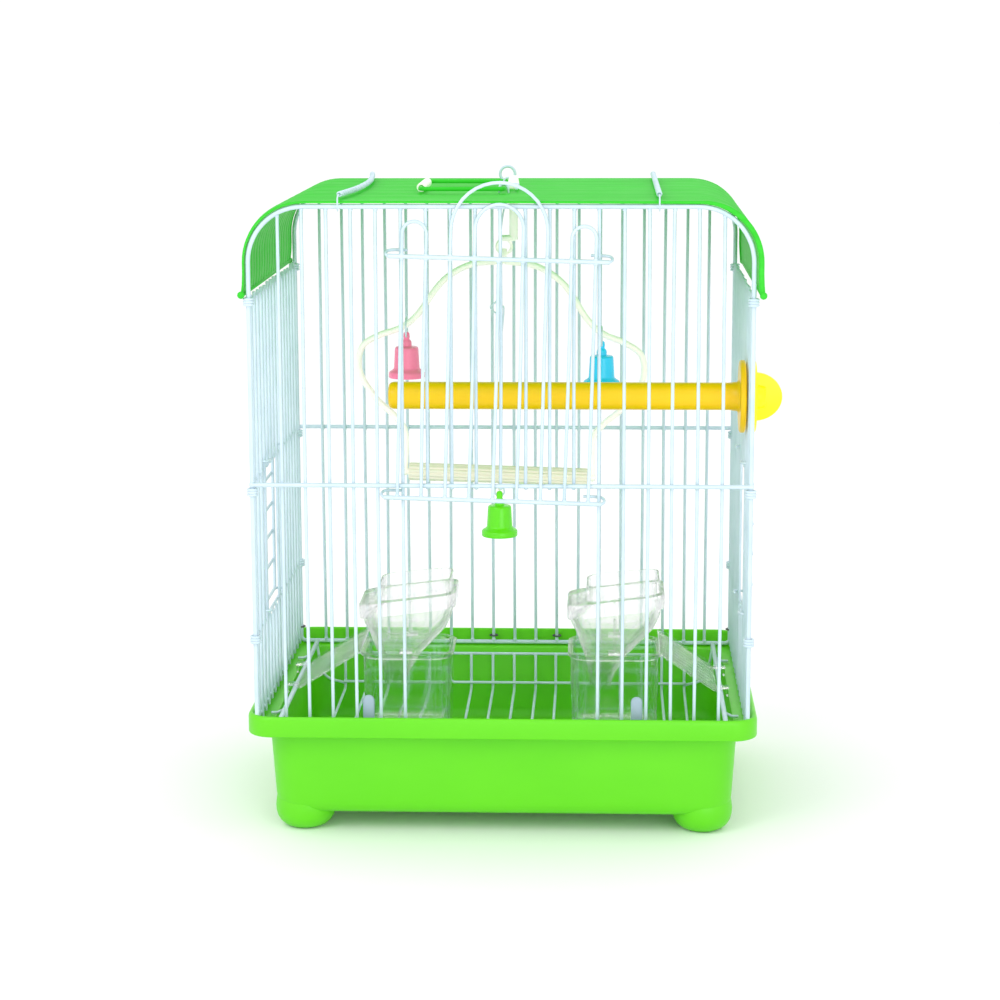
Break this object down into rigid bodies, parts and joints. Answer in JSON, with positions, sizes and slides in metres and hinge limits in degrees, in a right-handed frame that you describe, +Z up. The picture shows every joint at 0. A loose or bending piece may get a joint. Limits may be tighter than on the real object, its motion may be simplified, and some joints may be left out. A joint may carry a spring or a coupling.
{
  "type": "bird cage",
  "caption": "Table-top wire bird cage: green footed tray, bent roof sheet, raised guillotine door, perch, swing with bells and clear hopper feeders.",
  "frame": {"origin": "middle of the whole object's footprint, on the surface it stands on", "axes": "+X to the right seen from the door side, +Y to the back, +Z up"},
  "size_m": [0.3138, 0.23, 0.3884],
  "materials": {
    "green_plastic": "moulded green polypropylene, satin gloss",
    "roof_plastic": "bent green sheet, fine ribs",
    "white_wire": "white powder-coated steel wire",
    "dark_wire": "dark steel tie ring",
    "steel": "plated clapper",
    "yellow_plastic": "moulded yellow plastic",
    "ivory_plastic": "moulded ivory plastic",
    "pink_plastic": "moulded pink plastic",
    "blue_plastic": "moulded blue plastic",
    "bell_green_plastic": "moulded green plastic",
    "clear_plastic": "clear polystyrene",
    "clip_plastic": "blue-grey clip"
  },
  "bodies": {
    "tray_base": {"tray": "green_plastic", "grille_floor": "white_wire", "grille_front_wall": "white_wire", "grille_back_wall": "white_wire", "grille_left_rail": "white_wire", "grille_right_rail": "white_wire"},
    "cage": {"front_panel": "white_wire", "front_left_grid": "white_wire", "front_right_grid": "white_wire", "front_bottom_wire": "white_wire", "back_panel": "white_wire", "left_panel": "white_wire", "left_lower_grid": "white_wire", "left_front_strip": "white_wire", "left_back_strip": "white_wire", "right_panel": "white_wire", "right_lower_grid": "white_wire", "right_front_strip": "white_wire", "right_back_strip": "white_wire", "roof_cover": "roof_plastic", "left_roof_spring": "white_wire", "right_roof_spring": "white_wire", "handle_staple_front": "white_wire", "handle_staple_back": "white_wire", "hanging_loop": "white_wire", "swing_hanger": "ivory_plastic", "hanger_clip": "white_wire", "hanger_wire": "white_wire", "main_perch": "yellow_plastic", "left_tray_clip": "clip_plastic", "right_tray_clip": "clip_plastic", "bottom_clip_1": "dark_wire", "bottom_clip_2": "dark_wire", "bottom_clip_3": "dark_wire", "bottom_clip_4": "dark_wire"},
    "front_door": {"front_door": "white_wire"},
    "left_feeder_door": {"left_feeder_door": "white_wire"},
    "right_feeder_door": {"right_feeder_door": "white_wire"},
    "handle": {"carry_handle": "roof_plastic", "handle_grip": "ivory_plastic"},
    "swing": {"swing_frame": "ivory_plastic", "swing_perch": "ivory_plastic"},
    "pink_bell": {"pink_bell": "pink_plastic", "pink_bell_ring": "white_wire", "pink_bell_clapper": "steel"},
    "blue_bell": {"blue_bell": "blue_plastic", "blue_bell_ring": "white_wire", "blue_bell_clapper": "steel"},
    "green_bell": {"green_bell": "bell_green_plastic", "green_bell_ring": "white_wire", "green_bell_clapper": "steel"},
    "perch_nut": {"perch_nut": "yellow_plastic"},
    "left_feeder": {"left_feeder_cup": "clear_plastic", "left_feeder_arm": "clear_plastic"},
    "right_feeder": {"right_feeder_cup": "clear_plastic", "right_feeder_arm": "clear_plastic"},
    "left_hopper": {"left_feeder_hopper": "clear_plastic"},
    "right_hopper": {"right_feeder_hopper": "clear_plastic"}
  },
  "joints": [
    {"name": "cage_lift", "type": "slide", "parent": "tray_base", "child": "cage", "axis": [0, 0, 1], "range_m": [0, 0.15]},
    {"name": "front_door_slide", "type": "slide", "parent": "cage", "child": "front_door", "axis": [0, 0, 1], "range_m": [-0.126, 0]},
    {"name": "left_feeder_door_slide", "type": "slide", "parent": "cage", "child": "left_feeder_door", "axis": [0, 0, 1], "range_m": [0, 0.078]},
    {"name": "right_feeder_door_slide", "type": "slide", "parent": "cage", "child": "right_feeder_door", "axis": [0, 0, 1], "range_m": [0, 0.017]},
    {"name": "handle_fold", "type": "hinge", "parent": "cage", "child": "handle", "pos_m": [-0.0069, -0.02, 0.3792], "axis": [0, 1, 0], "range_deg": [0, 175]},
    {"name": "swing_pivot", "type": "hinge", "parent": "cage", "child": "swing", "pos_m": [-0.0089, 0, 0.336], "axis": [1, 0, 0], "range_deg": [-25, 25]},
    {"name": "pink_bell_swing", "type": "hinge", "parent": "swing", "child": "pink_bell", "pos_m": [-0.0691, 0, 0.2962], "axis": [1, 0, 0], "range_deg": [-20, 20]},
    {"name": "blue_bell_swing", "type": "hinge", "parent": "swing", "child": "blue_bell", "pos_m": [0.0507, 0, 0.2908], "axis": [1, 0, 0], "range_deg": [-12, 12]},
    {"name": "green_bell_swing", "type": "hinge", "parent": "swing", "child": "green_bell", "pos_m": [-0.0122, 0, 0.192], "axis": [0, 1, 0], "range_deg": [-12, 12]},
    {"name": "perch_nut_turn", "type": "hinge", "parent": "cage", "child": "perch_nut", "pos_m": [0.1431, -0.06345, 0.258], "axis": [1, 0, 0], "continuous": true},
    {"name": "left_feeder_lift", "type": "slide", "parent": "tray_base", "child": "left_feeder", "axis": [0, 0, 1], "range_m": [0, 0.03]},
    {"name": "right_feeder_lift", "type": "slide", "parent": "tray_base", "child": "right_feeder", "axis": [0, 0, 1], "range_m": [0, 0.03]},
    {"name": "left_hopper_lift", "type": "slide", "parent": "left_feeder", "child": "left_hopper", "axis": [0, 0, 1], "range_m": [0, 0.035]},
    {"name": "right_hopper_lift", "type": "slide", "parent": "right_feeder", "child": "right_hopper", "axis": [0, 0, 1], "range_m": [0, 0.035]}
  ]
}
